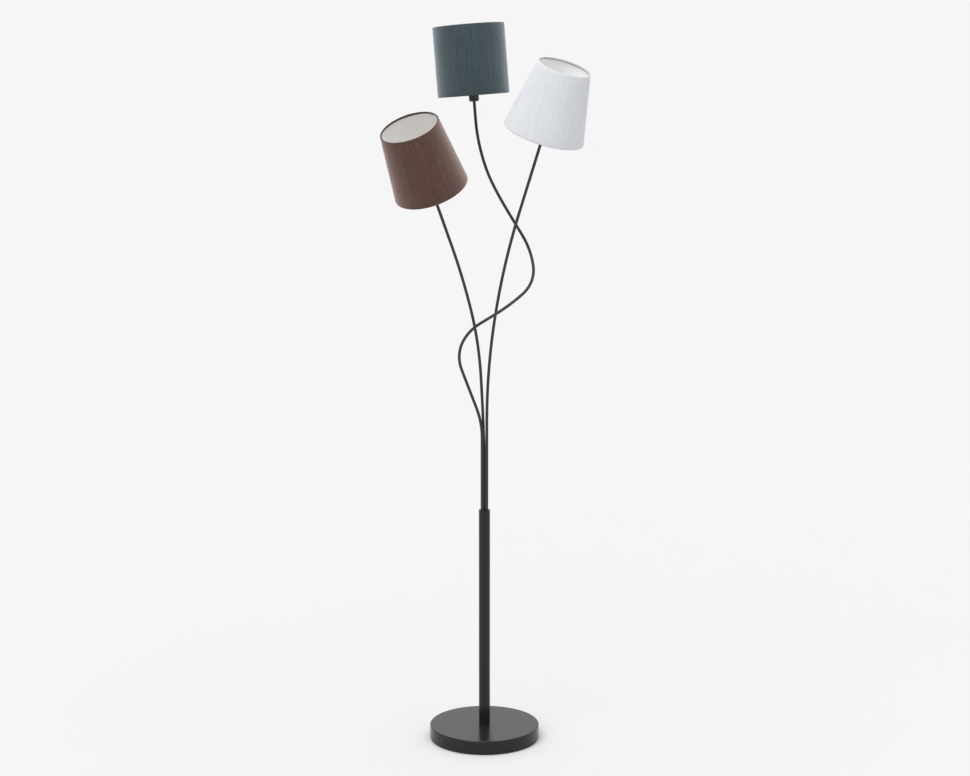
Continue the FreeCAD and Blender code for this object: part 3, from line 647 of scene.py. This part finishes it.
def combine(piece, other, operation):
    """Adds a closed shape to a piece, or takes it away, and removes the shape."""
    pick(piece)
    change = piece.modifiers.new("change", "BOOLEAN")
    change.operation = operation
    change.solver = "EXACT"
    change.object = other
    bpy.ops.object.modifier_apply(modifier=change.name)
    bpy.data.objects.remove(other)


def bore(piece, place, way, radius, length):
    """Drills a round hole through a piece."""
    object_mode()
    bpy.ops.object.select_all(action="DESELECT")
    bpy.ops.mesh.primitive_cylinder_add(vertices=64, radius=radius, depth=length)
    drill = bpy.context.object
    drill.matrix_world = Matrix.Translation(place) @ turned_to(way)
    bake_place(drill)
    combine(piece, drill, "DIFFERENCE")


def make_wire_frame(side):
    """Bottom wire, spokes and fitter ring, with a bead of weld at both ends of each spoke."""
    wire = Wall(side).point(HEM_CENTRE, HEM_CENTRE)
    piece = smooth_copy(side + "_shade_frame")
    beads = []
    for bearing in SPOKE_BEARINGS:
        angle = math.radians(bearing)
        outward = Vector((math.cos(angle), math.sin(angle), 0))
        inner = outward * FITTER_EDGE + UP * FITTER_MIDDLE
        outer = outward * wire[0] + UP * wire[1]
        along = (outer - inner).normalized()
        for end, (back, length) in ((inner, INNER_BEAD), (outer, OUTER_BEAD)):
            bead = weld_bead(end - along * back, length, along)
            to_head(bead, side)
            beads.append(bead)
    for bead in beads:
        combine(piece, bead, "UNION")
    smooth(piece, CLOTH_ANGLE)


# ------------------------------------------------------------------ base
COVER_SIDES = 256
COVER_RADIUS = 122.5 * MM
COVER_LOW = 1.5 * MM
COVER_HIGH = 32 * MM
COVER_ROLL = 2 * MM          # radius of the top edge
COVER_WALL = 1.2 * MM
COVER_HOLE = 10.2 * MM       # radius of the hole for the pole's bush
COVER_BREAK = 0.35 * MM      # of the other edges
COVER_MIDDLE = 0.6 * COVER_RADIUS
GLAND_HEIGHT = 14 * MM
GLAND_HOLE = 5.05 * MM
GLAND_DRILL = 12 * MM        # length of the drill


def make_base_cover():
    """Spun steel cover: rolled top edge, softly broken lower edge, holes for the pole and the gland."""
    roll = (COVER_RADIUS - COVER_ROLL, COVER_HIGH - COVER_ROLL)
    inside = COVER_RADIUS - COVER_WALL
    under = COVER_HIGH - COVER_WALL
    outline = [(inside, COVER_LOW + COVER_BREAK),
               (inside + COVER_BREAK, COVER_LOW),
               (COVER_RADIUS - COVER_BREAK, COVER_LOW),
               (COVER_RADIUS, COVER_LOW + COVER_BREAK),
               (COVER_RADIUS, COVER_LOW + 2 * COVER_BREAK),
               (COVER_RADIUS, roll[1] - COVER_BREAK),
               *arc_points(roll, COVER_ROLL, 0, 90, 10),
               (roll[0] - COVER_BREAK, COVER_HIGH),
               (COVER_MIDDLE, COVER_HIGH),
               (COVER_HOLE + COVER_BREAK, COVER_HIGH),
               (COVER_HOLE, COVER_HIGH - COVER_BREAK),
               (COVER_HOLE, under),
               (COVER_MIDDLE, under),
               (roll[0] - COVER_BREAK, under),
               *arc_points(roll, COVER_ROLL - COVER_WALL, 90, 0, 6),
               (inside, roll[1] - COVER_BREAK),
               (inside, COVER_LOW + COVER_BREAK)]
    piece = turn("base_cover_finished", outline, COVER_SIDES, loop=True)
    bore(piece, (0, COVER_RADIUS, GLAND_HEIGHT), (0, 1, 0), GLAND_HOLE, GLAND_DRILL)
    finish_piece(piece, "base_cover", METAL_ANGLE)


# ------------------------------------------------------------------ floor and light
BACKGROUND_LEVEL = 0.922     # the floor's and the backdrop's level in the picture, where 1 is white
FRONT_LEVEL = 0.18           # the studio's level towards the camera
BACK_LEVEL = 1.0             # and behind the lamp
STUDIO_TURN = 0.7            # the two blend where a way's Y is within this of 0
FLOOR_SIZE = 24.0
FLOOR_LIT = 1.5              # the floor is lit up to this distance from the lamp
FLOOR_FLAT = 4.0             # and flat in the picture from this one on
FLOOR_CLOUD = 0.003          # part of its level that the floor's paint varies by
SUNS = {                     # name: (direction towards it, level on a white surface facing it, softness)
    "key": ((-0.36, -0.62, 0.60), 0.52, 50.0),
    "fill": ((0.80, -0.52, 0.25), 0.18, 60.0),
    "top": ((0.0, -0.22, 1.0), 0.86, 65.0),
}


def add_floor():
    """Floor that takes the lamp's shadow, and that is flat in the picture far away from it."""
    bpy.ops.mesh.primitive_plane_add(size=FLOOR_SIZE, location=(0, 0, 0))
    floor = bpy.context.object
    floor.name = "floor"
    shader = Shader("floor", 0.9, Specular_IOR_Level=0.0)
    suns = sum(sun[1] * Vector(sun[0]).normalized().z for sun in SUNS.values())
    level = BACKGROUND_LEVEL / ((FRONT_LEVEL + BACK_LEVEL) / 2 + suns)
    paint = shader.noise(3.0, 2.0)
    low, high = level * (1 - FLOOR_CLOUD), level * (1 + FLOOR_CLOUD)
    shader.set(Base_Color=shader.mix(paint, (low,) * 3, (high,) * 3))
    distance = shader.node("ShaderNodeVectorMath", {"operation": "LENGTH"}, {0: shader.place()}, "Value")
    in_picture = shader.node("ShaderNodeLightPath", output="Is Camera Ray")
    flat = shader.node("ShaderNodeEmission", None, {"Color": (*(BACKGROUND_LEVEL,) * 3, 1.0)})
    lit = Value(shader, shader.surface.outputs[0])
    mixed = shader.node("ShaderNodeMixShader", None,
                        {0: in_picture * distance.step(FLOOR_LIT, FLOOR_FLAT), 1: lit, 2: flat})
    shader.links.new(mixed.socket, shader.nodes["Material Output"].inputs["Surface"])
    floor.data.materials.append(shader.material)


def add_world():
    """Studio that is bright behind the lamp and darker towards the camera, and flat in the picture."""
    world = bpy.data.worlds.new("studio")
    world.use_nodes = True
    bpy.context.scene.world = world
    nodes, links = world.node_tree.nodes, world.node_tree.links

    def level(strength):
        made = nodes.new("ShaderNodeBackground")
        made.inputs["Color"].default_value = (1, 1, 1, 1)
        made.inputs["Strength"].default_value = strength
        return made.outputs[0]

    def mix(factor, first, second):
        made = nodes.new("ShaderNodeMixShader")
        links.new(factor, made.inputs[0])
        links.new(first, made.inputs[1])
        links.new(second, made.inputs[2])
        return made.outputs[0]

    way = nodes.new("ShaderNodeSeparateXYZ")
    links.new(nodes.new("ShaderNodeTexCoord").outputs["Generated"], way.inputs[0])
    rearward = nodes.new("ShaderNodeMapRange")
    rearward.interpolation_type = "SMOOTHSTEP"
    rearward.inputs["From Min"].default_value = -STUDIO_TURN
    rearward.inputs["From Max"].default_value = STUDIO_TURN
    links.new(way.outputs["Y"], rearward.inputs["Value"])
    studio = mix(rearward.outputs[0], level(FRONT_LEVEL), level(BACK_LEVEL))
    in_picture = nodes.new("ShaderNodeLightPath").outputs["Is Camera Ray"]
    links.new(mix(in_picture, studio, level(BACKGROUND_LEVEL)), nodes["World Output"].inputs["Surface"])


def add_suns():
    for name, (way, level, softness) in SUNS.items():
        data = bpy.data.lights.new(name, "SUN")
        data.energy = level * math.pi
        data.angle = math.radians(softness)
        lamp = bpy.data.objects.new(name, data)
        lamp.rotation_euler = Vector(way).to_track_quat("Z", "Y").to_euler()
        bpy.context.scene.collection.objects.link(lamp)


def main():
    add_camera()
    make_base_cover()
    made = {"base_cover"}
    for side in SIDES:
        make_fabric(side)
        make_liner(side)
        make_wire_frame(side)
        made |= {side + "_shade_fabric", side + "_shade_liner", side + "_shade_frame"}
    for node in sorted(set(frame["nodes"]) - made):
        piece = smooth_copy(node)
        # arm tubes and holder cups take the lighter copy of the coat, painted light
        if node.endswith(("_arm_tube", "_holder_cup")):
            piece.data.materials[0] = BLACK_COAT_PAINTED_LIGHTER
    add_floor()
    add_world()
    add_suns()
    object_mode()


main()
bpy.context.scene.view_settings.view_transform = "Standard"
